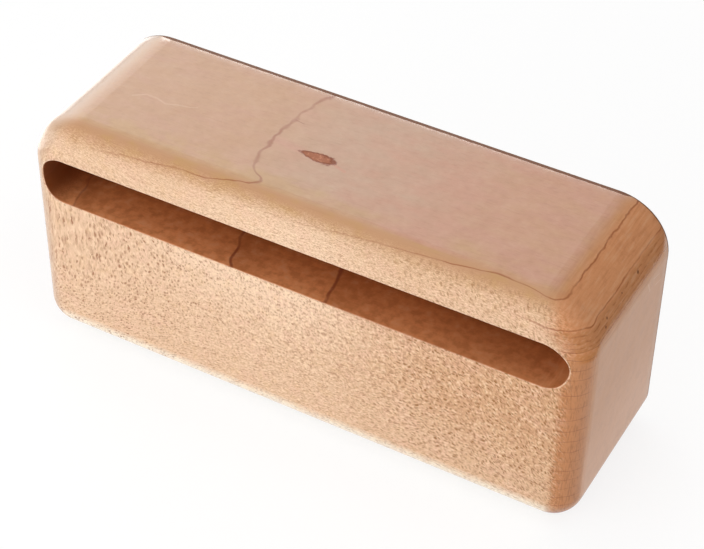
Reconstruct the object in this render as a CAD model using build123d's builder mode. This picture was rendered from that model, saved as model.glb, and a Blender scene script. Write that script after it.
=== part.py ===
"""Slotted hardwood woodblock that stands on four rubber feet.

Millimetres, +Z up. X runs along the block, the slot opens towards -Y, and the origin is
the middle of the footprint on the surface that the feet stand on.
"""

import os

from build123d import *

# Block
block_length = 180.0
block_depth = 55.5
block_height = 79.5
top_corner_radius = 16.5
front_round = 8.8
base_corner_margin = 0.7  # the base corners are this much larger in radius than the front rounding
back_edge_break = 0.8

# Resonance slot, milled in from the front with a cutter of the slot's own height
slot_height = 15.2
top_wall = 12.0
end_wall = 5.25
back_wall = 10.0
slot_lip_round = 0.4

# Rubber feet, glued into shallow recesses in the base
foot_diameter = 14.0
foot_thickness = 3.5
foot_rim_round = 0.6
foot_recess_depth = 2.0
foot_clearance = 0.15
foot_margin_front_back = 3.5
foot_margin_ends = 12.0

# Levels and places that follow from the sizes above
base_corner_radius = front_round + base_corner_margin
base_level = foot_thickness - foot_recess_depth
top_level = base_level + block_height
front_face = -block_depth / 2
back_face = block_depth / 2

slot_length = block_length - 2 * end_wall
slot_depth = block_depth - back_wall
slot_centre = top_level - top_wall - slot_height / 2

recess_radius = foot_diameter / 2 + foot_clearance
foot_x = block_length / 2 - base_corner_radius - foot_margin_ends - recess_radius
foot_front_y = front_face + front_round + foot_margin_front_back + recess_radius
foot_back_y = back_face - back_edge_break - foot_margin_front_back - recess_radius
foot_centres = {
    "foot_front_left": (-foot_x, foot_front_y),
    "foot_front_right": (foot_x, foot_front_y),
    "foot_back_left": (-foot_x, foot_back_y),
    "foot_back_right": (foot_x, foot_back_y),
}

# Planes that look out of the front; a sketch on them has X to the right and Z upwards
back_plane = Plane.XZ.offset(-back_face)
front_plane = Plane.XZ.offset(-front_face)
base_plane = Plane.XY.offset(base_level)

os.makedirs("parts", exist_ok=True)

# The block: one piece of hardwood, with its slot and the foot recesses cut into it
with BuildPart() as body:
    with BuildSketch(back_plane) as end_outline:
        with Locations((0, base_level + block_height / 2)):
            Rectangle(block_length, block_height)
        fillet(end_outline.vertices().group_by(Axis.Y)[-1], top_corner_radius)
        fillet(end_outline.vertices().group_by(Axis.Y)[0], base_corner_radius)
    extrude(amount=block_depth)
    fillet(body.faces().sort_by(Axis.Y)[0].edges(), front_round)
    fillet(body.faces().sort_by(Axis.Y)[-1].edges(), back_edge_break)

    with BuildSketch(front_plane):
        with Locations((0, slot_centre)):
            SlotOverall(slot_length, slot_height)
    extrude(amount=-slot_depth, mode=Mode.SUBTRACT)
    slot_edges = body.edges(Select.LAST)
    slot_mouth = slot_edges.filter_by(lambda edge: edge.center().Y < front_face + front_round)
    fillet(slot_mouth, slot_lip_round)

    with BuildSketch(base_plane):
        with Locations(*foot_centres.values()):
            Circle(recess_radius)
    extrude(amount=foot_recess_depth, mode=Mode.SUBTRACT)

body.part.label = "body"
export_step(body.part, "parts/body.step")

# The feet: moulded rubber discs, seated on the floors of the recesses
for name, (x, y) in foot_centres.items():
    with BuildPart() as foot:
        with BuildSketch(Plane(origin=(x, y, 0))):
            Circle(foot_diameter / 2)
        extrude(amount=foot_thickness)
        fillet(foot.edges().group_by(Axis.Z)[0], foot_rim_round)
    foot.part.label = name
    export_step(foot.part, f"parts/{name}.step")
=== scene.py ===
"""Looks of the slotted woodblock: camera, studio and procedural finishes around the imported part."""

import math

import bpy
from mathutils import Matrix, Vector

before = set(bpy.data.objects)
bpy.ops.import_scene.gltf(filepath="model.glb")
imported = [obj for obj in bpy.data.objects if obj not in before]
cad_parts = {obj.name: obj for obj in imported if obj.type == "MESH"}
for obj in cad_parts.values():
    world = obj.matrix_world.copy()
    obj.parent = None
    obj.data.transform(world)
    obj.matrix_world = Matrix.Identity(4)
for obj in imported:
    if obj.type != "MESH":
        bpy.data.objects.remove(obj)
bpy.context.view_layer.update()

MM = 0.001

# Camera, fitted to the outline of the block in the photograph
IMAGE_WIDTH = 704
SENSOR_WIDTH = 36.0
FOCAL_PIXELS = 2061.1
CAMERA_AZIMUTH = math.radians(28.877)
CAMERA_ELEVATION = math.radians(41.172)
CAMERA_ROLL = math.radians(0.7305)
CAMERA_DISTANCE = 606.28 * MM
AIM_HEIGHT = 39.0 * MM
AIM_RIGHT = 3.803 * MM
AIM_UP = -0.264 * MM
CLIP_NEAR = 0.01
CLIP_FAR = 50.0

# Levels of the block, in millimetres
TOP_LEVEL = 81.0
FRONT_FACE = -27.75
BACK_FACE = 27.75
RIGHT_END = 90.0


class Nodes:
    """Short calls that add nodes to one node tree and return their output sockets."""

    def __init__(self, tree):
        self.tree = tree
        self.tree.nodes.clear()

    def add(self, kind):
        return self.tree.nodes.new(kind)

    def plug(self, socket, value):
        if isinstance(value, bpy.types.NodeSocket):
            self.tree.links.new(value, socket)
        else:
            socket.default_value = value

    def math(self, operation, *values, clamp=False):
        node = self.add("ShaderNodeMath")
        node.operation = operation
        node.use_clamp = clamp
        for socket, value in zip(node.inputs, values):
            self.plug(socket, value)
        return node.outputs[0]

    def fold(self, operation, values):
        """The values taken together two by two, from the first on."""
        result = values[0]
        for value in values[1:]:
            result = self.math(operation, result, value)
        return result

    def plus(self, *values):
        return self.fold("ADD", values)

    def times(self, *values):
        return self.fold("MULTIPLY", values)

    def largest(self, *values):
        return self.fold("MAXIMUM", values)

    def minus(self, first, second):
        return self.math("SUBTRACT", first, second)

    def ratio(self, first, second):
        return self.math("DIVIDE", first, second)

    def absolute(self, value):
        return self.math("ABSOLUTE", value)

    def rest(self, share):
        """What a share leaves of the whole."""
        return self.minus(1.0, share)

    def centred(self, value):
        """A value from 0 to 1, moved to lie about nought."""
        return self.minus(value, 0.5)

    def length(self, *legs):
        """Length of the line that has these legs."""
        return self.math("SQRT", self.plus(*[self.times(leg, leg) for leg in legs]))

    def vector(self, x, y, z):
        node = self.add("ShaderNodeCombineXYZ")
        for socket, value in zip(node.inputs, (x, y, z)):
            self.plug(socket, value)
        return node.outputs[0]

    def split(self, vector):
        node = self.add("ShaderNodeSeparateXYZ")
        self.plug(node.inputs[0], vector)
        return node.outputs[0], node.outputs[1], node.outputs[2]

    def scaled(self, vector, factor):
        node = self.add("ShaderNodeVectorMath")
        node.operation = "SCALE"
        self.plug(node.inputs["Vector"], vector)
        self.plug(node.inputs["Scale"], factor)
        return node.outputs[0]

    def stretched(self, values, factors):
        """Vector of three values, each times its own factor."""
        return self.vector(*[self.times(value, factor) for value, factor in zip(values, factors)])

    def distance(self, vector, centre):
        node = self.add("ShaderNodeVectorMath")
        node.operation = "DISTANCE"
        self.plug(node.inputs[0], vector)
        self.plug(node.inputs[1], centre)
        return node.outputs["Value"]

    def ramp(self, value, start, end, low=0.0, high=1.0):
        """Smooth change from low to high while value goes from start to end."""
        node = self.add("ShaderNodeMapRange")
        node.interpolation_type = "SMOOTHSTEP"
        for socket, given in zip(node.inputs, (value, start, end, low, high)):
            self.plug(socket, given)
        return node.outputs[0]

    def mix(self, share, first, second):
        node = self.add("ShaderNodeMix")
        node.data_type = "RGBA"
        self.plug(node.inputs[0], share)
        self.plug(node.inputs[6], first)
        self.plug(node.inputs[7], second)
        return node.outputs[2]

    def lay(self, colour, over, *shares):
        """A colour with another laid over it, by the product of the shares."""
        return self.mix(self.times(*shares), colour, over)

    def noise(self, vector, scale=1.0, detail=2.0, roughness=0.5):
        """Noise from about 0 to 1."""
        node = self.add("ShaderNodeTexNoise")
        self.plug(node.inputs["Vector"], vector)
        self.plug(node.inputs["Scale"], scale)
        self.plug(node.inputs["Detail"], detail)
        self.plug(node.inputs["Roughness"], roughness)
        return node.outputs["Fac"]

    def grain(self, values, factors, detail, roughness):
        """Noise that is drawn out along the values with small factors."""
        return self.noise(self.stretched(values, factors), 1.0, detail, roughness)

    def cells(self, vector, scatter=1.0, dimensions="3D"):
        """Distance to the nearest of scattered points, one to a unit cell, and its random colour."""
        node = self.add("ShaderNodeTexVoronoi")
        node.voronoi_dimensions = dimensions
        self.plug(node.inputs["Vector"], vector)
        self.plug(node.inputs["Scale"], 1.0)
        self.plug(node.inputs["Randomness"], scatter)
        return node.outputs["Distance"], node.outputs["Color"]

    def curve(self, value, points):
        """Value looked up on the line through points, which is smooth between them."""
        low_in, high_in = points[0][0], points[-1][0]
        low_out = min(height for _, height in points)
        high_out = max(height for _, height in points)
        share = self.math("DIVIDE", self.minus(value, low_in), high_in - low_in, clamp=True)
        node = self.add("ShaderNodeFloatCurve")
        self.plug(node.inputs["Value"], share)
        line = node.mapping.curves[0]
        while len(line.points) < len(points):
            line.points.new(0.5, 0.5)
        for point, (place, height) in zip(line.points, points):
            at = (place - low_in) / (high_in - low_in)
            point.location = (at, (height - low_out) / (high_out - low_out))
        node.mapping.update()
        return self.plus(self.times(node.outputs[0], high_out - low_out), low_out)


def new_material(name):
    material = bpy.data.materials.new(name)
    material.use_nodes = True
    return material, Nodes(material.node_tree)


def close_material(n, colour, roughness, bump_height, specular=0.5):
    """Principled surface with that colour and roughness, and a bump whose height is in millimetres."""
    bump = n.add("ShaderNodeBump")
    bump.inputs["Distance"].default_value = MM
    bump.inputs["Strength"].default_value = 1.0
    n.plug(bump.inputs["Height"], bump_height)
    shader = n.add("ShaderNodeBsdfPrincipled")
    n.plug(shader.inputs["Base Color"], colour)
    n.plug(shader.inputs["Roughness"], roughness)
    n.plug(shader.inputs["Normal"], bump.outputs[0])
    shader.inputs["Specular IOR Level"].default_value = specular
    output = n.add("ShaderNodeOutputMaterial")
    n.plug(output.inputs["Surface"], shader.outputs[0])


# Wood colours, as the light of the studio shows them without flecks and lines
RADIAL_WOOD = (0.77, 0.505, 0.32, 1.0)
RADIAL_PALE = (0.89, 0.635, 0.44, 1.0)
RADIAL_WARM = (0.655, 0.36, 0.185, 1.0)
BLUSH_WOOD = (0.64, 0.325, 0.21, 1.0)
FLAT_WOOD = (0.63, 0.345, 0.187, 1.0)
# Painted sheen: the middle of the top paler and greyer, as if it reflected more light
FLAT_PAINTED_SHEEN = (0.61, 0.37, 0.24, 1.0)
END_WOOD = (0.75, 0.33, 0.15, 1.0)
END_FLAT = (0.66, 0.285, 0.10, 1.0)
END_CORNER = (0.62, 0.25, 0.085, 1.0)
# End-grain colour of the left-hand roundings, made paler as painted light from the left
END_LEFT_WOOD_AND_PAINTED_LIGHT = (0.65, 0.43, 0.275, 1.0)
END_LEFT_TOP = (0.55, 0.335, 0.20, 1.0)
# Painted highlight: a pale strip along the left-hand top rounding, where it turns away
END_LEFT_PAINTED_HIGHLIGHT = (0.74, 0.53, 0.38, 1.0)
END_LEFT_FACE = (0.61, 0.315, 0.15, 1.0)
# Painted light: the flat right-hand end paler low down, as if lit by the white floor
END_PAINTED_FLOOR_LIGHT = (0.80, 0.42, 0.23, 1.0)
# Painted light: the base and its lower roundings paler, as if lit by the white floor
BASE_PAINTED_FLOOR_LIGHT = (1.0, 0.88, 0.70, 1.0)
SLOT_WOOD = (0.80, 0.325, 0.126, 1.0)
# Painted shade: the slot floor darker deeper in
SLOT_DEEP_PAINTED_SHADE = (0.65, 0.24, 0.074, 1.0)
# End grain at the slot's ends darkened as painted shade, also used for painted shade deepest in the slot
SLOT_END_GRAIN_AND_PAINTED_SHADE = (0.30, 0.085, 0.02, 1.0)
SLOT_LATE = (0.40, 0.12, 0.03, 1.0)
# Pale wood: a painted highlight on the slot's eased lip, and the pale mottle inside the slot
LIP_HIGHLIGHT_AND_PALE_MOTTLE = (0.80, 0.50, 0.33, 1.0)
STAIN_WOOD = (0.64, 0.34, 0.20, 1.0)
FLECK_WOOD = (0.27, 0.07, 0.007, 1.0)
RIPPLE_WOOD = (0.30, 0.115, 0.02, 1.0)
GLINT_WOOD = (1.0, 0.76, 0.51, 1.0)
RING_WOOD = (0.36, 0.10, 0.035, 1.0)
KNOT_WOOD = (0.47, 0.155, 0.075, 1.0)
KNOT_PALE = (0.70, 0.31, 0.18, 1.0)
KNOT_RIM = (0.27, 0.07, 0.025, 1.0)
PORE_WOOD = (0.13, 0.04, 0.02, 1.0)
EDGE_WOOD = (0.19, 0.05, 0.002, 1.0)
LATE_WOOD = (0.46, 0.185, 0.06, 1.0)
TINT_WOOD = (0.84, 0.50, 0.36, 1.0)
HONEY_WOOD = (0.80, 0.52, 0.28, 1.0)
BAND_WOOD = (0.62, 0.36, 0.14, 1.0)

# From here on, a span reads (from, to) or (from, to, share at from, share at to). Places are in
# millimetres. A tilt is how far a face looks along one axis, from -1 to 1. A grain reads (factors
# along, across and up, detail, roughness), or (scale, detail, roughness) where it is even all round.

# Slot in the front
SLOT_CENTRE = 61.4
SLOT_RADIUS = 7.6
SLOT_CORE = 77.15
SLOT_LIP = 0.4
SLOT_BACK = 17.75
SLOT_AHEAD = (SLOT_BACK + 2.0, SLOT_BACK + 0.5)
SLOT_WALL = (SLOT_RADIUS + 0.05, SLOT_RADIUS + 0.15, 1.0, 0.0)
SLOT_EASING = (SLOT_RADIUS + SLOT_LIP, SLOT_RADIUS + 0.2)
PLAIN_MIDDLE = -54.0
PLAIN_REACH = (8.0, 16.0)

# Kinds of face
FACE_FAR = 0.5
FACE_NEAR = 0.1
END_GRAIN_TILT = (0.02, 0.42)
FLAT_GRAIN_START = (-50.0, 0.0, 0.38, 0.52)
FLAT_GRAIN_END = (-50.0, 0.0, 0.9, 0.94)
LEVEL_TILT = (0.97, 0.999)
SIDE_TILT = (0.3, 0.8)
SIDE_END_TILT = (0.65, 0.2)
END_FACE_TILT = (0.95, 0.995)
LEFT_FACE_TILT = (-0.88, -0.98)
FORWARD_DEPTH = (10.0, -10.0, 0.4, 1.0)
RIGHT_ROUNDING = (62.0, 80.0)
RIGHT_CORNER = (70.0, 84.0)
UPTURNED_TILT = (0.5, 0.75)
UPTURNED_END_TILT = (-0.05, 0.2)


class Block:
    """Where a point lies on the block, which way it faces, and its share in each kind of face."""

    def __init__(self, n):
        self.place = n.scaled(n.add("ShaderNodeTexCoord").outputs["Object"], 1 / MM)
        self.face = n.add("ShaderNodeNewGeometry").outputs["Normal"]
        self.x, self.y, self.z = self.axes = n.split(self.place)
        self.face_x, self.face_y, self.face_z = n.split(self.face)
        self.endwise = n.absolute(self.face_x)
        self.name_faces(n)
        self.name_slot(n)
        at_end = n.times(n.ramp(self.face_z, *UPTURNED_END_TILT), n.ramp(self.x, *RIGHT_ROUNDING))
        over = n.times(n.ramp(self.face_z, *UPTURNED_TILT), n.rest(self.in_slot))
        self.upturned = n.largest(at_end, over)
        self.on_end = n.times(n.ramp(self.x, *RIGHT_CORNER), self.upturned)

    def name_faces(self, n):
        """Which way the fibres are cut, and which flat face the point is on."""
        self.end_grain = n.ramp(self.endwise, *END_GRAIN_TILT)
        flat_start = n.ramp(self.x, *FLAT_GRAIN_START)
        flat_end = n.ramp(self.x, *FLAT_GRAIN_END)
        self.flat_grain = n.ramp(self.face_z, flat_start, flat_end)
        self.level = n.ramp(n.absolute(self.face_z), *LEVEL_TILT)
        sideways = n.ramp(n.absolute(self.face_y), *SIDE_TILT)
        self.side = n.times(sideways, n.ramp(self.endwise, *SIDE_END_TILT))
        self.on_top = n.ramp(self.z, TOP_LEVEL - FACE_FAR, TOP_LEVEL - FACE_NEAR)
        self.on_front = n.ramp(self.y, FRONT_FACE + FACE_FAR, FRONT_FACE + FACE_NEAR)
        self.on_right = n.ramp(self.x, RIGHT_END - FACE_FAR, RIGHT_END - FACE_NEAR)
        self.end_face = n.ramp(self.endwise, *END_FACE_TILT)
        self.left_face = n.ramp(self.face_x, *LEFT_FACE_TILT)
        self.forward = n.ramp(self.y, *FORWARD_DEPTH)

    def name_slot(self, n):
        """Where the slot is, its eased mouth, and the length of its floor that has ring lines."""
        past_core = n.largest(n.minus(n.absolute(self.x), SLOT_CORE), 0.0)
        self.off_centre = n.minus(self.z, SLOT_CENTRE)
        self.from_core = n.length(past_core, self.off_centre)
        ahead = n.ramp(self.y, *SLOT_AHEAD)
        self.in_slot = n.times(n.ramp(self.from_core, *SLOT_WALL), ahead)
        self.on_lip = n.times(n.ramp(self.from_core, *SLOT_EASING), ahead, n.rest(self.in_slot))
        self.lined = n.ramp(n.absolute(n.minus(self.x, PLAIN_MIDDLE)), *PLAIN_REACH)


# Patterns of the wood that several faces share
FIBRE_GRAIN = ((0.09, 2.2, 2.2), 3.0, 0.6)
STREAK_GRAIN = ((0.22, 0.8, 0.8), 3.0, 0.6)
STREAK_SKEW = 0.25
CLOUD_GRAIN = ((0.03, 0.09, 0.05), 2.0, 0.5)
BLOTCH_GRAIN = ((0.07, 0.14, 0.1), 3.0, 0.6)
HATCH_GRAIN = ((2.6, 2.6, 0.4), 1.0, 0.5)
WORN_GRAIN = ((1.3, 0.13, 1.3), 2.0, 0.5)
VESSEL_FACTORS = (0.24, 1.2, 1.2)
TINT_GRAIN = (0.2, 2.0, 0.5)
MOTTLE_GRAIN = (0.35, 3.0, 0.6)
WAVE_GRAIN = (0.09, 2.0, 0.5)


class Grain:
    """Noise patterns of the wood, drawn out along the fibres or even all round."""

    def __init__(self, n, at):
        skewed = n.minus(at.y, n.times(at.x, STREAK_SKEW))
        self.fibre = n.grain(at.axes, *FIBRE_GRAIN)
        self.streak = n.grain((at.x, skewed, at.z), *STREAK_GRAIN)
        self.cloud = n.grain(at.axes, *CLOUD_GRAIN)
        self.blotch = n.grain(at.axes, *BLOTCH_GRAIN)
        self.hatch = n.grain(at.axes, *HATCH_GRAIN)
        self.worn = n.grain(at.axes, *WORN_GRAIN)
        self.tint = n.noise(at.place, *TINT_GRAIN)
        self.mottle = n.noise(at.place, *MOTTLE_GRAIN)
        self.wave = n.noise(at.place, *WAVE_GRAIN)
        self.off_vessel, _ = n.cells(n.stretched(at.axes, VESSEL_FACTORS))


# Height of the growth ring that crosses the struck top, along the block
RING_PROFILE = (
    (-90, 75.2), (-72, 77.4), (-51, 79.5), (-30, 80.35), (-20.5, 81.0), (-5, 82.0),
    (18, 83.1), (45, 84.3), (64, 85.0), (78, 84.1), (90, 82.4),
)
# How far that ring dips towards the front and the back, and where along the block it does
RING_DIP = ((-28, 0.75), (-23, 0.5), (-18.5, 0.39), (-12, 0.0), (15, 0.0), (23, 0.18), (28, 0.3))
RING_DIP_ALONG = (-5.0, 25.0, 1.0, 0.0)
# Depth of the rings below that one, against their count
RING_DEPTHS = (
    (-93.0, -19.0), (-36.5, -7.0), (-29.4, -6.0), (-25.1, -5.0), (-20.5, -4.0), (-17.4, -3.0),
    (-10.6, -2.0), (-4.25, -1.0), (0.0, 0.0), (5.0, 1.0),
)
RING_SPACING = 4.8
RING_SLOPE = 0.08
RING_STEEPER = 0.0026
RING_LEAST_ACROSS = 0.003
# How the rings stray from their level
RING_WANDER = 0.3
RING_WANDER_GRAIN = (0.16, 1.0, 0.5)
RING_JOG = (0.0, 1.0, 1.5, 0.5)
RING_JOG_GRAIN = (0.2, 2.0, 0.55)
RING_CALM_FROM = (0.0, 45.0)
RING_CALM_TO = (76.0, 60.0)
# Half width of a ring line on a steep face, on the level top and on the slot's floor
RING_LINE = 0.17
RING_LINE_LEVEL = 0.48
RING_LINE_SLOT = 0.75
RING_WIDER = (56.0, 66.0, RING_LINE_SLOT - RING_LINE, RING_LINE_LEVEL - RING_LINE)
RING_WIDER_TILT = (0.97, 0.998)
RING_EDGE = (0.2, 1.8, 1.0, 0.0)
RING_FADE = (-6.0, -2.0, 0.45, 1.0)
RING_PATCHES = (0.3, 0.6, 0.5, 1.0)
RING_PATCH_SCALE = 0.12
# The third ring, which is late wood with fine lines in it, and the dusk before each line
LATE_FROM = (-3.05, -2.9)
LATE_TO = (-2.0, -2.15)
FINE_LINES = 4.0
FINE_EDGE = (0.3, 0.5)
FINE_PATCHES = (0.35, 0.6)
FINE_PATCH_SCALE = 0.5
DUSK = (0.5, 1.0)


def ring_height(n, at, across):
    """Height of a point above the growth ring that crosses the top."""
    dip = n.times(n.curve(at.y, RING_DIP), n.ramp(at.x, *RING_DIP_ALONG))
    steeper = n.times(n.minus(TOP_LEVEL, at.z), at.x, RING_STEEPER)
    wander = n.times(n.centred(n.noise(at.place, *RING_WANDER_GRAIN)), RING_WANDER)
    calm = n.times(n.ramp(at.x, *RING_CALM_FROM), n.ramp(at.x, *RING_CALM_TO))
    jog = n.centred(n.noise(at.place, *RING_JOG_GRAIN))
    jog = n.times(jog, across, n.ramp(calm, *RING_JOG))
    profile = n.curve(at.x, RING_PROFILE)
    return n.plus(at.z, n.times(profile, -1.0), dip, n.times(steeper, -1.0), wander, jog)


def ring_lines(n, at):
    """Shares of ring line, of fine line in the third ring, of that ring, and of dusk before a line."""
    upright = n.minus(at.face_z, n.times(at.face_x, RING_SLOPE))
    across = n.minus(1.0 + RING_SLOPE ** 2, n.times(upright, upright))
    across = n.math("SQRT", n.largest(across, RING_LEAST_ACROSS))
    count = n.curve(ring_height(n, at, across), RING_DEPTHS)
    off_ring = n.absolute(n.centred(n.math("FRACT", n.plus(count, 0.5))))
    distance = n.ratio(n.times(off_ring, RING_SPACING), across)
    wider = n.times(n.ramp(at.face_z, *RING_WIDER_TILT), n.ramp(at.z, *RING_WIDER))
    line = n.ramp(n.ratio(distance, n.plus(RING_LINE, wider)), *RING_EDGE)
    patches = n.ramp(n.noise(at.place, RING_PATCH_SCALE), *RING_PATCHES)
    line = n.times(line, n.times(n.ramp(count, *RING_FADE), patches))
    late = n.times(n.ramp(count, *LATE_FROM), n.ramp(count, *LATE_TO))
    off_fine = n.absolute(n.centred(n.math("FRACT", n.times(count, FINE_LINES))))
    fine_patches = n.ramp(n.noise(at.place, FINE_PATCH_SCALE), *FINE_PATCHES)
    fine = n.times(n.ramp(off_fine, *FINE_EDGE), fine_patches, late)
    dusk = n.ramp(n.math("FRACT", count), *DUSK)
    return line, fine, late, dusk


# Rays: how they lean along the block and tilt across it, and how far they stray
RAY_MIDDLE = 45.0
RAY_TILT = (-85.0, -25.0, 0.04, 0.23)
RAY_TURN = 0.00011
RAY_LEAN = (-20.0, 80.0, 0.0, 0.35)
RAY_BEND = 1.2
RAY_BEND_GRAIN = (0.7, 1.0)
RAY_DRIFT = 0.3
RAY_DRIFT_GRAIN = (0.45, 1.0)
# Dark flecks, one to a cell, smaller and weaker towards the right and above the slot
FLECK_FACTORS = (1.0, 3.7, 0.14)
FLECK_REACH = (-60.0, -20.0, 0.29, 0.24)
FLECK_REACH_SPREAD = 0.29
FLECK_EDGE = (0.3, 1.1, 1.0, 0.0)
FLECK_LEFT = (-50.0, -10.0, 1.0, 0.7)
FLECK_RIGHT = (0.0, 40.0, 1.0, 0.15)
FLECK_HIGH = (64.0, 70.0, 1.0, 0.4)
FLECK_LEAST = 0.4
FLECK_SPREAD = 0.6
# Soft shade and glint between the flecks
RAY_GRAIN = ((1.5, 5.0, 0.2), 1.0, 0.5)
RAY_GRAIN_SHARE = 0.7
RAY_DASH = ((0.45, 3.5, 0.3), 1.0, 0.5)
RAY_DASH_SHARE = 0.3
RAY_CONTRAST = (-60.0, 20.0, 0.65, 1.0)
RAY_SHADE = (0.5, 0.34)
RAY_GLINT = (0.5, 0.66)


def ray_flecks(n, at):
    """Shares of dark fleck, of soft shade and of pale glint, from rays that stand upright and thin."""
    rise = n.minus(at.z, RAY_MIDDLE)
    turn = n.times(rise, rise, rise, RAY_TURN)
    bend = n.times(n.centred(n.noise(at.place, *RAY_BEND_GRAIN)), RAY_BEND)
    drift = n.times(n.centred(n.noise(at.place, *RAY_DRIFT_GRAIN)), RAY_DRIFT)
    along = n.plus(at.x, n.times(rise, n.ramp(at.x, *RAY_LEAN)), bend)
    aside = n.plus(at.y, n.times(rise, n.ramp(at.x, *RAY_TILT)), turn, drift)
    axes = (along, aside, rise)

    distance, kind = n.cells(n.stretched(axes, FLECK_FACTORS))
    size, depth, _ = n.split(kind)
    reach = n.plus(n.ramp(at.x, *FLECK_REACH), n.times(size, FLECK_REACH_SPREAD))
    fleck = n.ramp(n.ratio(distance, reach), *FLECK_EDGE)
    strength = n.times(n.ramp(at.x, *FLECK_LEFT), n.ramp(at.x, *FLECK_RIGHT), n.ramp(at.z, *FLECK_HIGH))
    fleck = n.times(fleck, n.plus(FLECK_LEAST, n.times(depth, FLECK_SPREAD)), strength)

    fine = n.times(n.grain(axes, *RAY_GRAIN), RAY_GRAIN_SHARE)
    tone = n.plus(fine, n.times(n.grain(axes, *RAY_DASH), RAY_DASH_SHARE))
    contrast = n.ramp(at.x, *RAY_CONTRAST)
    return fleck, n.times(n.ramp(tone, *RAY_SHADE), contrast), n.times(n.ramp(tone, *RAY_GLINT), contrast)


# Dashes: how their rows bend down towards the right, sway and lean
RIPPLE_SWAY_GRAIN = (0.3, 1.0)
RIPPLE_SHIFT_GRAIN = (0.6, 1.0)
RIPPLE_SWAY = 3.4
RIPPLE_BEND_FROM = 15.0
RIPPLE_BEND = 0.007
RIPPLE_LEAN = -0.4
RIPPLE_ALONG = 0.5
RIPPLE_SCATTER = 0.9
RIPPLE_REACH = 0.3
RIPPLE_REACH_SPREAD = 0.15
RIPPLE_EDGE = (0.4, 1.0, 1.0, 0.0)
RIPPLE_LEAST = 0.5
RIPPLE_SPREAD = 0.5
RIPPLE_RIGHT = (0.0, 50.0)
RIPPLE_LOW = (4.0, 22.0, 0.4, 1.0)
RIPPLE_HIGH = (66.0, 72.0, 1.0, 0.5)
# Wider waves that make the dashes stronger and weaker in turn
SWELL_CLIMB = -0.3
SWELL_SWAY = 5.0
SWELL_SHIFT = 1.2
SWELL_PITCH = 0.38
SWELL = (0.4, 0.15, 0.65, 1.2)


def ripple_dashes(n, at):
    """Share of thin dark dash, in wavy rows, where the sides cut along the rays towards the right."""
    sway = n.centred(n.noise(at.place, *RIPPLE_SWAY_GRAIN))
    shift = n.centred(n.noise(at.place, *RIPPLE_SHIFT_GRAIN))
    past = n.largest(n.minus(at.x, RIPPLE_BEND_FROM), 0.0)
    along = n.plus(at.x, n.times(at.z, RIPPLE_LEAN), shift)
    aside = n.plus(at.z, n.times(past, past, RIPPLE_BEND), n.times(sway, RIPPLE_SWAY))
    distance, kind = n.cells(n.vector(n.times(along, RIPPLE_ALONG), aside, 0.0), RIPPLE_SCATTER, "2D")
    size, depth, _ = n.split(kind)
    reach = n.plus(RIPPLE_REACH, n.times(size, RIPPLE_REACH_SPREAD))
    dash = n.ramp(n.ratio(distance, reach), *RIPPLE_EDGE)
    climb = n.plus(at.z, n.times(at.x, SWELL_CLIMB), n.times(sway, SWELL_SWAY), n.times(shift, SWELL_SHIFT))
    off_swell = n.absolute(n.centred(n.math("FRACT", n.times(climb, SWELL_PITCH))))
    strength = n.times(n.ramp(at.x, *RIPPLE_RIGHT), n.ramp(at.z, *RIPPLE_LOW), n.ramp(at.z, *RIPPLE_HIGH))
    strength = n.times(strength, n.ramp(off_swell, *SWELL))
    return n.times(dash, n.plus(RIPPLE_LEAST, n.times(depth, RIPPLE_SPREAD)), strength)


# Short marks in the top: ends along and across the block, and half width
BRANCH_LINES = (((-20.4, 10.3), (-17.4, 9.8), 0.35),)
KNOT_TAILS = (((-1.0, -2.2), (3.5, -3.6), 1.0),)
KNOT_HALOS = (((-20.0, -0.5), (-12.0, -1.5), 3.2),)
PALE_STREAKS = (
    ((-67.6, -3.2), (-64.3, -0.8), 0.6), ((-64.3, -0.8), (-60.6, -0.9), 0.6),
    ((-60.6, -0.9), (-57.2, -2.0), 0.5), ((-57.2, -2.0), (-53.8, -0.7), 0.5),
    ((-53.8, -0.7), (-50.0, 0.1), 0.5), ((-50.0, 0.1), (-48.1, 1.0), 0.4),
)
# Short dark marks low on the front: ends along the block and up, and half width
FRONT_DASHES = (
    ((65.1, 15.7), (67.0, 15.1), 0.45), ((67.0, 15.1), (69.1, 14.3), 0.45),
    ((74.0, 17.5), (77.4, 17.0), 0.4), ((77.4, 17.0), (82.4, 16.5), 0.4),
)
# Pale scratches high on the right-hand end: ends across the block and up, and half width
END_SCRATCHES = (
    ((13.2, 64.3), (15.3, 60.3), 0.5), ((19.0, 59.7), (23.6, 58.4), 0.35),
    ((17.0, 63.4), (21.6, 62.0), 0.3),
)
# Open pores on the rounding of the right-hand end: centre and radius
PORES = (
    ((88.2, 8.2, 71.9), 0.85), ((88.1, -2.2, 72.3), 0.4), ((88.4, -12.6, 71.6), 0.6),
    ((89.0, -14.4, 70.0), 0.6),
)
PORE_CORE = 0.2


def line_marks(n, first, second, lines):
    """Share of soft straight marks on a face that has the coordinates first and second."""
    marks = 0.0
    for start, end, half_width in lines:
        step_first, step_second = end[0] - start[0], end[1] - start[1]
        span = step_first ** 2 + step_second ** 2
        from_first, from_second = n.minus(first, start[0]), n.minus(second, start[1])
        covered = n.plus(n.times(from_first, step_first), n.times(from_second, step_second))
        reached = n.math("DIVIDE", covered, span, clamp=True)
        off_first = n.minus(from_first, n.times(reached, step_first))
        off_second = n.minus(from_second, n.times(reached, step_second))
        marks = n.largest(marks, n.ramp(n.length(off_first, off_second), 0.0, half_width, 1.0, 0.0))
    return marks


def pore_marks(n, place):
    """Share of open pore."""
    marks = 0.0
    for centre, radius in PORES:
        marks = n.plus(marks, n.ramp(n.distance(place, centre), radius * PORE_CORE, radius, 1.0, 0.0))
    return marks


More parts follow.
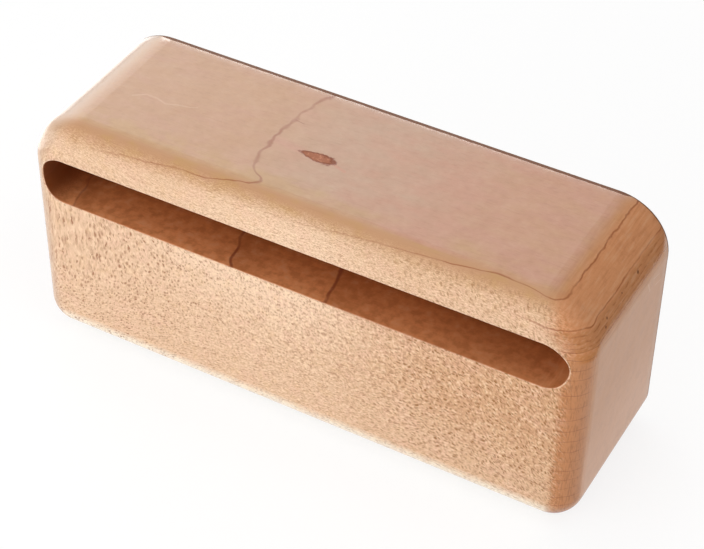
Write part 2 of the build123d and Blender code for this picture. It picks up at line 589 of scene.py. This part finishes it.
# Knot in the top, a spindle along the grain, blunt towards the right
KNOT_CENTRE = (-6.3, -1.7, 81.0)
KNOT_HALF_LENGTH = 5.8
KNOT_HALF_WIDTH = 1.9
KNOT_HALF_DEPTH = 1.5
KNOT_TURN = -0.02
KNOT_TAPER = 0.4
KNOT_TAPER_LEAST = 0.3
KNOT_ROUGH = 1.5
KNOT_ROUGH_GRAIN = (0.8, 3.0, 0.6)
KNOT_FLECK_GRAIN = (1.3, 2.0)
KNOT_EDGE = (0.6, 1.2, 1.0, 0.0)
KNOT_RIM_FROM = (0.8, 1.2)
KNOT_RIM_TO = (1.2, 0.9)
KNOT_RIM_HEAVY = 0.9
KNOT_RIM_HEAVIER = (0.12, 0.15)
KNOT_SPOTS = (0.48, 0.6)
KNOT_SPOTS_REACH = (0.9, 0.4)


def knot_mark(n, at):
    """Shares of knot, of its dark rim and of the pale spots in it."""
    from_x = n.minus(at.x, KNOT_CENTRE[0])
    from_y = n.minus(at.y, KNOT_CENTRE[1])
    along = n.ratio(n.plus(from_x, n.times(from_y, KNOT_TURN)), KNOT_HALF_LENGTH)
    fuller = n.largest(n.plus(1.0, n.times(along, KNOT_TAPER)), KNOT_TAPER_LEAST)
    aside = n.ratio(n.minus(from_y, n.times(from_x, KNOT_TURN)), n.times(fuller, KNOT_HALF_WIDTH))
    below = n.ratio(n.minus(at.z, KNOT_CENTRE[2]), KNOT_HALF_DEPTH)
    rough = n.times(n.centred(n.noise(at.place, *KNOT_ROUGH_GRAIN)), KNOT_ROUGH)
    reach = n.plus(n.times(along, along), n.times(aside, aside), n.times(below, below), rough)
    knot = n.ramp(reach, *KNOT_EDGE)
    heavier_along, heavier_aside = KNOT_RIM_HEAVIER
    heavy = n.plus(KNOT_RIM_HEAVY, n.times(along, heavier_along), n.times(aside, heavier_aside))
    fleck = n.noise(at.place, *KNOT_FLECK_GRAIN)
    rim = n.times(n.ramp(n.plus(reach, fleck), *KNOT_RIM_FROM), n.ramp(reach, *KNOT_RIM_TO), heavy)
    spot = n.times(n.ramp(fleck, *KNOT_SPOTS), knot, n.ramp(reach, *KNOT_SPOTS_REACH))
    return knot, rim, spot


# Sides: where they are warm and where pale, and the base, painted paler as light from the floor
WARM_ALONG = (0.0, 65.0)
WARM_LOW = (8.0, 36.0, 0.3, 1.0)
WARM_HIGH = (54.0, 70.0, 1.0, 0.12)
WARM_CLOUDS = 0.5
PALE_MIDDLE = -13.0
PALE_ALONG = (10.0, 50.0, 1.0, 0.0)
PALE_UP = (28.0, 60.0)
PALE_ABOVE_SLOT = (64.0, 70.0)
PALE_ABOVE_LOSS = (10.0, -40.0, -0.4, -0.75)
BASE_TILT = (0.02, -0.3)


def side_wood(n, at, grain):
    """Colour of the sides, warm towards the right and pale left of the middle, and of the base, painted paler
    as floor light.
    """
    warm = n.times(n.ramp(at.x, *WARM_ALONG), n.ramp(at.z, *WARM_LOW), n.ramp(at.z, *WARM_HIGH))
    warm = n.times(n.plus(warm, n.times(n.centred(grain.cloud), WARM_CLOUDS)), at.forward)
    off_middle = n.absolute(n.minus(at.x, PALE_MIDDLE))
    pale = n.times(n.ramp(off_middle, *PALE_ALONG), n.ramp(at.z, *PALE_UP))
    loss = n.times(n.ramp(at.z, *PALE_ABOVE_SLOT), n.ramp(at.x, *PALE_ABOVE_LOSS))
    pale = n.times(pale, n.plus(1.0, loss))
    colour = n.mix(n.math("MAXIMUM", warm, 0.0, clamp=True), RADIAL_WOOD, RADIAL_WARM)
    colour = n.lay(colour, RADIAL_PALE, pale)
    # Painted light from the floor, laid over the base and its lower roundings
    return n.lay(colour, BASE_PAINTED_FLOOR_LIGHT, n.ramp(at.face_z, *BASE_TILT))


# Top: its middle painted paler as sheen, brown bands on the rounding and along the front, and the blush at
# the right
TOP_MIDDLE = 12.0
TOP_MIDDLE_ALONG = (10.0, 45.0, 1.0, 0.0)
BAND_BLOTCHES = (0.46, 0.66)
BAND_SHARE = 0.6
FRONT_BAND = (-12.5, -18.0)
FRONT_BAND_STRAY = 16.0
FRONT_BAND_SHARE = 0.55
BLUSH_ALONG = (-15.0, 40.0, 0.08, 0.7)
BLUSH_BLOTCHES = 2.4
HALO_SHARE = 0.9
TAIL_SHARE = 1.2


def top_wood(n, at, grain, colour):
    """Flat grain laid over the top and its roundings."""
    colour = n.lay(colour, FLAT_WOOD, at.flat_grain)
    middle = n.ramp(n.absolute(n.minus(at.x, TOP_MIDDLE)), *TOP_MIDDLE_ALONG)
    # Painted sheen: the flat middle of the top made paler and greyer
    colour = n.lay(colour, FLAT_PAINTED_SHEEN, middle, at.level, at.level)
    rounding = n.times(at.flat_grain, n.rest(at.level))
    colour = n.lay(colour, BAND_WOOD, n.ramp(grain.blotch, *BAND_BLOTCHES), rounding, BAND_SHARE)
    stray = n.centred(grain.blotch)
    band = n.ramp(n.plus(at.y, n.times(stray, FRONT_BAND_STRAY)), *FRONT_BAND)
    colour = n.lay(colour, BAND_WOOD, band, at.level, FRONT_BAND_SHARE)
    blush = n.times(n.plus(n.ramp(at.x, *BLUSH_ALONG), n.times(stray, BLUSH_BLOTCHES)), at.level)
    halo = n.times(line_marks(n, at.x, at.y, KNOT_HALOS), at.on_top, HALO_SHARE)
    tail = n.times(line_marks(n, at.x, at.y, KNOT_TAILS), at.on_top, TAIL_SHARE)
    blush = n.math("MAXIMUM", blush, n.largest(halo, tail), clamp=True)
    return n.lay(colour, BLUSH_WOOD, blush)


# Ends: the right-hand one from its corners up to the rounding, and the paler left-hand one, both with painted
# light
END_ROUND_TILT = (0.0, 0.35)
END_FLOOR_LIGHT_UP = (45.0, 10.0)
END_MOTTLE = (0.45, 0.7, 0.0, 0.12)
LEFT_TOP_TILT = (0.1, 0.5)
# Painted highlight strip on the left-hand top rounding: the tilts where it starts and ends
LEFT_HIGHLIGHT_FROM = (0.2, 0.5)
LEFT_HIGHLIGHT_TO = (0.8, 0.55)
LEFT_TILT = (0.0, -0.1)


def end_wood(n, at, grain, colour):
    """End grain laid over the right-hand and the left-hand end, with painted floor light and a painted
    highlight.
    """
    rounding = n.mix(n.ramp(at.face_z, *END_ROUND_TILT), END_CORNER, END_WOOD)
    # Painted floor light: the flat end grows paler towards the floor
    flat = n.mix(n.ramp(at.z, *END_FLOOR_LIGHT_UP), END_FLAT, END_PAINTED_FLOOR_LIGHT)
    right = n.mix(at.end_face, rounding, flat)
    right = n.lay(right, RING_WOOD, n.ramp(grain.mottle, *END_MOTTLE))
    # Painted light: the left-hand roundings paler, with a painted highlight strip along the top one
    left = n.mix(n.ramp(at.face_z, *LEFT_TOP_TILT), END_LEFT_WOOD_AND_PAINTED_LIGHT, END_LEFT_TOP)
    left = n.lay(left, END_LEFT_PAINTED_HIGHLIGHT, n.ramp(at.face_z, *LEFT_HIGHLIGHT_FROM), n.ramp(at.face_z, *LEFT_HIGHLIGHT_TO))
    left = n.lay(left, END_LEFT_FACE, at.left_face)
    return n.mix(at.end_grain, colour, n.mix(n.ramp(at.face_x, *LEFT_TILT), right, left))


# Slot: painted shade darkens it with depth and at its ends; darker towards the right; a stain under its mouth
SLOT_DEPTH = (-26.0, -11.0)
SLOT_DUSK_SHARE = 0.4
SLOT_MOTTLE_DARK = (0.42, 0.66, 0.0, 0.36)
SLOT_MOTTLE_PALE = (0.46, 0.3, 0.0, 0.12)
# Painted shade deepest in the slot, where the light does not reach
SLOT_GLOOM_PAINTED_SHADE = (-15.0, -11.5, 0.0, 0.42)
SLOT_RIGHT = (20.0, 60.0, 0.0, 0.18)
SLOT_END_TILT = (0.05, 0.8)
SLOT_END_ALONG = (74.0, 86.0, 0.0, 0.5)
SLOT_END_RIGHT = (60.0, 80.0, 1.0, 0.5)
STAIN_REACH = (SLOT_RADIUS + 2.0, SLOT_RADIUS + 0.4)
STAIN_BELOW = (0.0, -5.0)
STAIN_FROM = (5.0, 30.0)
STAIN_TO = (66.0, 54.0)
STAIN_SHARE = 0.5


def slot_wood(n, at, grain, dusk, colour):
    """Milled wood over the slot with painted shade, its eased mouth painted pale as a highlight, and the
    stain under it.
    """
    # Painted shade: the slot grows darker with depth
    slot = n.mix(n.ramp(at.y, *SLOT_DEPTH), SLOT_WOOD, SLOT_DEEP_PAINTED_SHADE)
    slot = n.lay(slot, SLOT_LATE, dusk, at.lined, SLOT_DUSK_SHARE)
    slot = n.lay(slot, SLOT_LATE, n.ramp(grain.mottle, *SLOT_MOTTLE_DARK))
    slot = n.lay(slot, LIP_HIGHLIGHT_AND_PALE_MOTTLE, n.ramp(grain.mottle, *SLOT_MOTTLE_PALE))
    # Painted shade deepest in the slot
    slot = n.lay(slot, SLOT_END_GRAIN_AND_PAINTED_SHADE, n.ramp(at.y, *SLOT_GLOOM_PAINTED_SHADE))
    slot = n.lay(slot, SLOT_LATE, n.ramp(at.x, *SLOT_RIGHT))
    # The slot's ends: end grain, darkened further as painted shade
    end = n.largest(n.ramp(at.endwise, *SLOT_END_TILT), n.ramp(n.absolute(at.x), *SLOT_END_ALONG))
    slot = n.lay(slot, SLOT_END_GRAIN_AND_PAINTED_SHADE, end, n.ramp(at.x, *SLOT_END_RIGHT))
    colour = n.mix(at.in_slot, colour, slot)
    # Painted highlight: the eased lip of the slot made paler, as if catching the light
    colour = n.lay(colour, LIP_HIGHLIGHT_AND_PALE_MOTTLE, at.on_lip)
    stain = n.times(n.ramp(at.from_core, *STAIN_REACH), n.ramp(at.off_centre, *STAIN_BELOW))
    stain = n.times(stain, n.ramp(at.x, *STAIN_FROM), n.ramp(at.x, *STAIN_TO), at.on_front)
    return n.lay(colour, STAIN_WOOD, stain, STAIN_SHARE)


# Marks on the sides, each with the share that its colour takes
SIDE_TINT = (0.45, 0.7)
SIDE_TINT_SHARE = 0.25
SIDE_HONEY = (0.5, 0.7)
SIDE_HONEY_SHARE = 0.3
SHADE_LEAST = 0.03
SHADE_ALONG = (0.0, 60.0, 0.4, 0.3)
GLINT_ALONG = (-10.0, 45.0, 0.65, 0.5)
FLECK_LEAST_SHARE = 0.02
FLECK_SIDE_SHARE = 0.84
RIPPLE_MOST = 0.95
FRONT_DASH_SHARE = 0.4


def side_marks(n, at, grain, rays, colour):
    """Tints, ray flecks and dashes laid over the sides."""
    fleck, shade, glint = rays
    colour = n.lay(colour, TINT_WOOD, n.ramp(grain.tint, *SIDE_TINT), at.side, SIDE_TINT_SHARE)
    colour = n.lay(colour, HONEY_WOOD, n.ramp(grain.mottle, *SIDE_HONEY), at.side, SIDE_HONEY_SHARE)
    shade_share = n.plus(SHADE_LEAST, n.times(at.side, n.ramp(at.x, *SHADE_ALONG)))
    colour = n.lay(colour, FLECK_WOOD, shade, shade_share)
    colour = n.lay(colour, GLINT_WOOD, glint, at.side, n.ramp(at.x, *GLINT_ALONG))
    fleck_share = n.plus(FLECK_LEAST_SHARE, n.times(at.side, FLECK_SIDE_SHARE))
    colour = n.lay(colour, FLECK_WOOD, fleck, fleck_share)
    ripple = n.times(ripple_dashes(n, at), at.side, at.forward)
    colour = n.lay(colour, RIPPLE_WOOD, n.math("MINIMUM", ripple, RIPPLE_MOST))
    dashes = n.times(line_marks(n, at.x, at.z, FRONT_DASHES), at.on_front)
    return n.lay(colour, FLECK_WOOD, dashes, FRONT_DASH_SHARE)


# Ring lines: how strongly each part of the block shows them
RING_TOP_SHARE = (-70.0, -25.0, 0.5, 0.62)
FAINT_FROM = (-18.0, 2.0)
FAINT_TO = (50.0, 25.0)
FAINT_SHARE = (0.0, 1.0, 1.0, 0.45)
RING_LEFT_SHARE = 0.35
HIGH_END_UP = (59.0, 66.0)
HIGH_END_TILT = (0.05, 0.3)
HIGH_END_SHARE = 0.7
CORNER_TILT_FROM = (0.05, 0.35)
CORNER_TILT_TO = (0.995, 0.9)
CORNER_LEVEL_TILT = (0.35, 0.1)
CORNER_SHARE = 1.3
RING_SLOT_SHARE = (-60.0, -30.0, 0.5, 2.2)
RING_SLOT_BLACK = 0.12
RING_LEAST_SHARE = 0.08
LATE_SHARE = 0.38
FINE_SHARE = 0.5
WORN_DARK = (0.5, 0.75)
WORN_DARK_SHARE = 0.22
WORN_PALE = (0.5, 0.3)
WORN_PALE_SHARE = 0.12


def ring_shares(n, at):
    """How strongly a point shows ring lines, and the share of that which the slot has."""
    faint = n.times(n.ramp(at.x, *FAINT_FROM), n.ramp(at.x, *FAINT_TO), n.rest(at.level))
    top = n.times(at.upturned, n.ramp(at.x, *RING_TOP_SHARE), n.ramp(faint, *FAINT_SHARE))
    left = n.times(at.left_face, RING_LEFT_SHARE)
    high_end = n.times(n.ramp(at.z, *HIGH_END_UP), n.ramp(at.x, *RIGHT_ROUNDING))
    high_end = n.times(high_end, n.ramp(at.endwise, *HIGH_END_TILT), HIGH_END_SHARE)
    corner = n.times(n.ramp(at.endwise, *CORNER_TILT_FROM), n.ramp(at.endwise, *CORNER_TILT_TO))
    corner = n.times(corner, n.ramp(at.x, *RIGHT_CORNER), n.ramp(at.face_z, *CORNER_LEVEL_TILT))
    slot = n.times(at.in_slot, at.lined, n.ramp(at.x, *RING_SLOT_SHARE))
    share = n.largest(top, left, high_end, n.times(corner, CORNER_SHARE), slot)
    return n.plus(share, RING_LEAST_SHARE), slot


def ring_marks(n, at, grain, rings, colour):
    """Ring lines laid over every face, with late wood and worn grain on the right-hand rounding."""
    line, fine, late, _ = rings
    share, slot_share = ring_shares(n, at)
    colour = n.lay(colour, RING_WOOD, line, share)
    colour = n.lay(colour, PORE_WOOD, line, slot_share, RING_SLOT_BLACK)
    colour = n.lay(colour, LATE_WOOD, late, at.on_end, LATE_SHARE)
    colour = n.lay(colour, RING_WOOD, fine, at.on_end, FINE_SHARE)
    colour = n.lay(colour, RING_WOOD, n.ramp(grain.worn, *WORN_DARK), at.on_end, WORN_DARK_SHARE)
    return n.lay(colour, GLINT_WOOD, n.ramp(grain.worn, *WORN_PALE), at.on_end, WORN_PALE_SHARE)


# Marks on the top and the ends, each with the share that its colour takes
BRANCH_SHARE = 0.5
FIBRE_DARK = (0.5, 0.8)
FIBRE_SHARE = 0.1
STREAK_DARK = (0.48, 0.72)
STREAK_SHARE = 0.06
MOTTLE_DARK = (0.48, 0.7)
MOTTLE_DARK_SHARE = 0.07
MOTTLE_PALE = (0.5, 0.3)
MOTTLE_PALE_SHARE = 0.05
VESSEL_EDGE = (0.14, 0.34, 1.0, 0.0)
VESSEL_SHARE = 0.07
PALE_MARK_SHARE = 0.2
HATCH_TILT = (0.1, 0.4)
HATCH_END_SHARE = (0.85, 1.0, 0.36, 0.06)
HATCH_DARK = (0.52, 0.34)


def top_marks(n, at, grain, colour):
    """Fibres, streaks, vessels and single marks laid over the top, and the scratches on the end."""
    branch = n.times(line_marks(n, at.x, at.y, BRANCH_LINES), at.on_top)
    colour = n.lay(colour, RING_WOOD, branch, BRANCH_SHARE)
    colour = n.lay(colour, FLECK_WOOD, n.ramp(grain.fibre, *FIBRE_DARK), FIBRE_SHARE)
    colour = n.lay(colour, FLECK_WOOD, n.ramp(grain.streak, *STREAK_DARK), at.level, STREAK_SHARE)
    colour = n.lay(colour, FLECK_WOOD, n.ramp(grain.mottle, *MOTTLE_DARK), at.level, MOTTLE_DARK_SHARE)
    colour = n.lay(colour, GLINT_WOOD, n.ramp(grain.mottle, *MOTTLE_PALE), at.level, MOTTLE_PALE_SHARE)
    colour = n.lay(colour, FLECK_WOOD, n.ramp(grain.off_vessel, *VESSEL_EDGE), at.level, VESSEL_SHARE)
    streaks = n.times(line_marks(n, at.x, at.y, PALE_STREAKS), at.on_top)
    scratches = n.times(line_marks(n, at.y, at.z, END_SCRATCHES), at.on_right)
    return n.lay(colour, GLINT_WOOD, n.largest(streaks, scratches), PALE_MARK_SHARE)


def end_marks(n, at, grain, colour):
    """Fine hatching of the cut fibres, laid over the upright corners of the ends."""
    across = n.times(n.ramp(at.endwise, *HATCH_TILT), n.rest(at.upturned))
    across = n.times(across, n.ramp(at.endwise, *HATCH_END_SHARE))
    return n.lay(colour, FLECK_WOOD, n.ramp(grain.hatch, *HATCH_DARK), across)


# The sharp back edge, drawn as a thin dark line
EDGE_STRAY = 0.4
EDGE_STRAY_GRAIN = (0.4, 2.0)
EDGE_NARROWER = 0.75
EDGE_WIDTH = (1.1, 0.8)
EDGE_BACK_TILT = (0.97, 0.9)
EDGE_LOW_TILT = (0.3, 0.6, 1.0, 0.6)


def dark_back_edge(n, at):
    """Share of the thin dark line along the back edge."""
    stray = n.times(n.centred(n.noise(at.place, *EDGE_STRAY_GRAIN)), EDGE_STRAY)
    from_edge = n.minus(BACK_FACE, n.plus(at.y, stray))
    from_edge = n.minus(from_edge, n.times(at.level, EDGE_NARROWER))
    edge = n.times(n.ramp(from_edge, *EDGE_WIDTH), n.ramp(at.face_y, *EDGE_BACK_TILT))
    return n.times(edge, n.ramp(at.face_y, *EDGE_LOW_TILT))


# Lacquer: roughness, and height of the surface in millimetres
LACQUER_ROUGH = 0.18
FIBRE_ROUGH = 0.08
END_ROUGH = (*END_FACE_TILT, 0.0, 0.14)
SLOT_ROUGH = 0.4
KNOT_DULL = 0.6
EDGE_ROUGH = 0.5
BACK_ROUGH = (0.9, 0.99, 0.0, 0.4)
FIBRE_HEIGHT = 0.012
FLECK_HEIGHT = -0.006
WAVE_HEIGHT = 0.2
KNOT_HEIGHT = -0.02
EASED_FROM = BACK_FACE - 4.5
EASED_FALL = 0.03


def lacquer_roughness(n, at, grain, knot, edge):
    """Smooth on the faces, duller on the ends, and dull in the slot, on the knot, the edge and the back."""
    roughness = n.plus(LACQUER_ROUGH, n.times(n.centred(grain.fibre), FIBRE_ROUGH))
    roughness = n.plus(roughness, n.ramp(at.endwise, *END_ROUGH))
    roughness = n.plus(roughness, n.times(n.plus(at.in_slot, at.on_lip), SLOT_ROUGH))
    roughness = n.plus(roughness, n.times(knot, KNOT_DULL), n.times(edge, EDGE_ROUGH))
    return n.plus(roughness, n.ramp(at.face_y, *BACK_ROUGH))


def lacquer_height(n, at, grain, fleck, knot):
    """Slow waves with a trace of the fibres, flecks and knot, eased off towards the back edge."""
    height = n.plus(n.times(grain.fibre, FIBRE_HEIGHT), n.times(fleck, FLECK_HEIGHT))
    height = n.plus(height, n.times(grain.wave, WAVE_HEIGHT), n.times(knot, KNOT_HEIGHT))
    eased = n.largest(n.minus(at.y, EASED_FROM), 0.0)
    return n.minus(height, n.times(eased, eased, EASED_FALL))


KNOT_SHARE = 0.9
SPOT_SHARE = 0.7
RIM_SHARE = 0.85
PORE_SHARE = 0.8
EDGE_SHARE = 0.96


def wood():
    """Pale hardwood under satin lacquer: fibres along X, growth rings in near-level layers, rays upright."""
    material, n = new_material("lacquered_wood")
    at = Block(n)
    grain = Grain(n, at)
    rings = ring_lines(n, at)
    rays = ray_flecks(n, at)
    knot, rim, spot = knot_mark(n, at)
    edge = dark_back_edge(n, at)
    colour = side_wood(n, at, grain)
    colour = top_wood(n, at, grain, colour)
    colour = end_wood(n, at, grain, colour)
    colour = slot_wood(n, at, grain, rings[-1], colour)
    colour = side_marks(n, at, grain, rays, colour)
    colour = ring_marks(n, at, grain, rings, colour)
    colour = top_marks(n, at, grain, colour)
    colour = end_marks(n, at, grain, colour)
    colour = n.lay(colour, KNOT_WOOD, knot, KNOT_SHARE)
    colour = n.lay(colour, KNOT_PALE, spot, SPOT_SHARE)
    colour = n.lay(colour, KNOT_RIM, rim, RIM_SHARE)
    colour = n.lay(colour, PORE_WOOD, pore_marks(n, at.place), PORE_SHARE)
    colour = n.lay(colour, EDGE_WOOD, edge, EDGE_SHARE)
    roughness = lacquer_roughness(n, at, grain, knot, edge)
    close_material(n, colour, roughness, lacquer_height(n, at, grain, rays[0], knot))
    return material


def linear(red, green, blue):
    """A colour as seen on screen, 0 to 255, turned into the linear values that shaders use."""
    def channel(value):
        share = value / 255
        return share / 12.92 if share <= 0.04045 else ((share + 0.055) / 1.055) ** 2.4
    return (channel(red), channel(green), channel(blue), 1.0)


# Rubber
RUBBER_BLACK = linear(52, 51, 50)
RUBBER_DUSTY = linear(70, 68, 66)
RUBBER_GRAIN = (4.0, 3.0, 0.6)
RUBBER_DUST_GRAIN = (0.5, 2.0, 0.5)
RUBBER_DUST = (0.4, 0.75)
RUBBER_ROUGH = 0.7
RUBBER_GRAIN_ROUGH = 0.2
RUBBER_GRAIN_HEIGHT = 0.05


def rubber():
    """Black moulded rubber with a fine matt grain."""
    material, n = new_material("moulded_rubber")
    place = n.scaled(n.add("ShaderNodeTexCoord").outputs["Object"], 1 / MM)
    grain = n.noise(place, *RUBBER_GRAIN)
    dust = n.noise(place, *RUBBER_DUST_GRAIN)
    colour = n.mix(n.ramp(dust, *RUBBER_DUST), RUBBER_BLACK, RUBBER_DUSTY)
    roughness = n.plus(RUBBER_ROUGH, n.times(grain, RUBBER_GRAIN_ROUGH))
    close_material(n, colour, roughness, n.times(grain, RUBBER_GRAIN_HEIGHT))
    return material


def give(node, material):
    for index in range(len(node.material_slots)):
        node.material_slots[index].material = material


wood_finish = wood()
rubber_finish = rubber()
for name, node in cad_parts.items():
    give(node, wood_finish if name == "body" else rubber_finish)


# Studio, in metres
WHITE = (1.0, 1.0, 1.0, 1.0)
AMBIENT_LIGHT = 0.34
AMBIENT_SEEN = 0.04
WALL_AZIMUTH = math.radians(-50.0)
WALL_HALF_WIDTH = math.radians(35.0)
WALL_ELEVATION = math.radians(30.0)
WALL_FALL_ABOVE = math.radians(24.0)
WALL_FALL_BELOW = math.radians(45.0)
WALL_SEEN = 3.4
WALL_LIGHT = 1.3

# Floor: what it throws back on the block, and how it looks itself
FLOOR_HALF = 3.0
FLOOR_PALE = (0.85, 0.85, 0.85, 1.0)
FLOOR_DIM = (0.25, 0.25, 0.25, 1.0)
FLOOR_GLOW = 0.8

# Black card that stands behind to the right of the block
FLAG_PLACE = (0.16, 0.15, 0.0)
FLAG_TURN = math.radians(90.0)
FLAG_HALF_WIDTH = 0.25
FLAG_HEIGHT = 0.35
FLAG_BLACK = (0.02, 0.02, 0.02, 1.0)

# White card that lies on the floor behind to the left of the block
CARD_PLACE = (-0.406, 0.299, 0.0005)
CARD_TURN = math.radians(137.0)
CARD_HALF_LENGTH = 0.35
CARD_HALF_WIDTH = 0.3
CARD_GLOW = 2.4


def studio_sheet(name, corners, material):
    """A flat sheet with four corners."""
    mesh = bpy.data.meshes.new(name)
    mesh.from_pydata(corners, [], [(0, 1, 2, 3)])
    mesh.materials.append(material)
    sheet = bpy.data.objects.new(name, mesh)
    bpy.context.scene.collection.objects.link(sheet)
    return sheet


def lying(half_length, half_width):
    """Corners of a sheet that lies flat."""
    return [
        (-half_length, -half_width, 0), (half_length, -half_width, 0),
        (half_length, half_width, 0), (-half_length, half_width, 0),
    ]


def standing(half_width, height):
    """Corners of a sheet that stands upright."""
    return [(-half_width, 0, 0), (half_width, 0, 0), (half_width, 0, height), (-half_width, 0, height)]


def set_up(card, place, turn):
    """Put a card in its place, where only reflections see it."""
    card.location = place
    card.rotation_euler = (0.0, 0.0, turn)
    card.visible_camera = False
    card.visible_diffuse = False
    card.visible_shadow = False
    card.visible_transmission = False


def plain_shader(n, kind, colour, strength=None):
    """Output of a shader that has one colour all over."""
    shader = n.add(kind)
    n.plug(shader.inputs["Color"], colour)
    if strength is not None:
        n.plug(shader.inputs["Strength"], strength)
    return shader.outputs[0]


def show(n, shader, kind="ShaderNodeOutputMaterial"):
    output = n.add(kind)
    n.plug(output.inputs["Surface"], shader)


def floor_white():
    """White to look at, with a soft shadow, and pale in the light that it throws back."""
    material, n = new_material("studio_white")
    path = n.add("ShaderNodeLightPath")
    white = n.add("ShaderNodeAddShader")
    n.plug(white.inputs[0], plain_shader(n, "ShaderNodeBsdfDiffuse", FLOOR_DIM))
    n.plug(white.inputs[1], plain_shader(n, "ShaderNodeEmission", WHITE, FLOOR_GLOW))
    seen = n.largest(path.outputs["Is Camera Ray"], path.outputs["Is Glossy Ray"])
    choose = n.add("ShaderNodeMixShader")
    n.plug(choose.inputs[0], n.largest(seen, path.outputs["Is Transmission Ray"]))
    n.plug(choose.inputs[1], plain_shader(n, "ShaderNodeBsdfDiffuse", FLOOR_PALE))
    n.plug(choose.inputs[2], white.outputs[0])
    show(n, choose.outputs[0])
    return material


def flag_black():
    material, n = new_material("studio_black")
    show(n, plain_shader(n, "ShaderNodeBsdfDiffuse", FLAG_BLACK))
    return material


def card_white():
    material, n = new_material("studio_card_white")
    show(n, plain_shader(n, "ShaderNodeEmission", WHITE, CARD_GLOW))
    return material


def studio_floor():
    """A wide pale floor."""
    floor = studio_sheet("studio_floor", lying(FLOOR_HALF, FLOOR_HALF), floor_white())


def studio_flag():
    """A black card, so that the rounding of the right-hand end stays clear."""
    flag = studio_sheet("studio_flag", standing(FLAG_HALF_WIDTH, FLAG_HEIGHT), flag_black())
    set_up(flag, FLAG_PLACE, FLAG_TURN)


def studio_card():
    """A white card, so that the left rounding melts into white."""
    card = studio_sheet("studio_card", lying(CARD_HALF_LENGTH, CARD_HALF_WIDTH), card_white())
    set_up(card, CARD_PLACE, CARD_TURN)


def softbox(name, azimuth, elevation, distance, width, height, watts, mirrored=False):
    """An area light that faces the block, or a strip for reflections only. Azimuth 0 is behind, 90 right."""
    light = bpy.data.lights.new(name, "AREA")
    light.shape = "RECTANGLE"
    light.size = width
    light.size_y = height
    light.energy = watts
    lamp = bpy.data.objects.new(name, light)
    bpy.context.scene.collection.objects.link(lamp)
    turn, rise = math.radians(azimuth), math.radians(elevation)
    away = Vector((math.sin(turn) * math.cos(rise), math.cos(turn) * math.cos(rise), math.sin(rise)))
    lamp.location = Vector((0, 0, AIM_HEIGHT)) + away * distance
    lamp.rotation_mode = "QUATERNION"
    lamp.rotation_quaternion = (-away).to_track_quat("-Z", "Y")
    lamp.visible_glossy = mirrored
    lamp.visible_diffuse = not mirrored
    lamp.visible_camera = False


def studio_world():
    """Even light from all round, dim in reflections, with a bright white wall low down behind to the left."""
    world = bpy.data.worlds.new("studio")
    bpy.context.scene.world = world
    world.use_nodes = True
    n = Nodes(world.node_tree)
    path = n.add("ShaderNodeLightPath")
    x, y, z = n.split(n.add("ShaderNodeTexCoord").outputs["Generated"])
    turn = n.ratio(n.minus(n.math("ARCTAN2", x, y), WALL_AZIMUTH), WALL_HALF_WIDTH)
    lift = n.minus(n.math("ARCSINE", z), WALL_ELEVATION)
    above = n.ratio(n.largest(lift, 0.0), WALL_FALL_ABOVE)
    below = n.ratio(n.math("MINIMUM", lift, 0.0), WALL_FALL_BELOW)
    spread = n.plus(n.times(turn, turn), n.times(above, above), n.times(below, below))
    wall = n.math("EXPONENT", n.times(spread, -1.0))
    mirrored = path.outputs["Is Glossy Ray"]
    dim = n.ramp(mirrored, 0.0, 1.0, AMBIENT_LIGHT, AMBIENT_SEEN)
    lit = n.plus(dim, n.times(wall, n.ramp(mirrored, 0.0, 1.0, WALL_LIGHT, WALL_SEEN)))
    seen = n.largest(path.outputs["Is Camera Ray"], path.outputs["Is Transmission Ray"])
    strength = n.plus(n.times(lit, n.rest(seen)), seen)
    show(n, plain_shader(n, "ShaderNodeBackground", WHITE, strength), "ShaderNodeOutputWorld")


def studio_camera():
    """The photograph's own point of view."""
    azimuth, elevation, roll = CAMERA_AZIMUTH, CAMERA_ELEVATION, CAMERA_ROLL
    flat = math.cos(elevation)
    back = Vector((math.sin(azimuth) * flat, -math.cos(azimuth) * flat, math.sin(elevation)))
    level = Vector((math.cos(azimuth), math.sin(azimuth), 0.0))
    steep = back.cross(level)
    right = math.cos(roll) * level + math.sin(roll) * steep
    up = math.cos(roll) * steep - math.sin(roll) * level
    aim = Vector((0, 0, AIM_HEIGHT)) + right * AIM_RIGHT + up * AIM_UP
    lens = bpy.data.cameras.new("camera")
    lens.sensor_fit = "HORIZONTAL"
    lens.sensor_width = SENSOR_WIDTH
    lens.lens = FOCAL_PIXELS * SENSOR_WIDTH / IMAGE_WIDTH
    lens.clip_start = CLIP_NEAR
    lens.clip_end = CLIP_FAR
    camera = bpy.data.objects.new("camera", lens)
    bpy.context.scene.collection.objects.link(camera)
    turned = Matrix((right, up, back)).transposed().to_4x4()
    camera.matrix_world = Matrix.Translation(aim + back * CAMERA_DISTANCE) @ turned
    bpy.context.scene.camera = camera


studio_floor()
studio_flag()
studio_card()
studio_world()
studio_camera()
softbox("overhead", azimuth=180.0, elevation=76.0, distance=1.6, width=2.0, height=2.0, watts=5.0)
softbox("right_fill", azimuth=95.0, elevation=50.0, distance=1.4, width=1.0, height=1.0, watts=3.0)
softbox("front_fill", azimuth=-150.0, elevation=12.0, distance=1.3, width=1.6, height=0.5, watts=12.0)
softbox(
    "back_strip", azimuth=-20.0, elevation=14.0, distance=1.3, width=0.9, height=0.3, watts=3.6, mirrored=True
)

bpy.context.scene.view_settings.view_transform = "Standard"
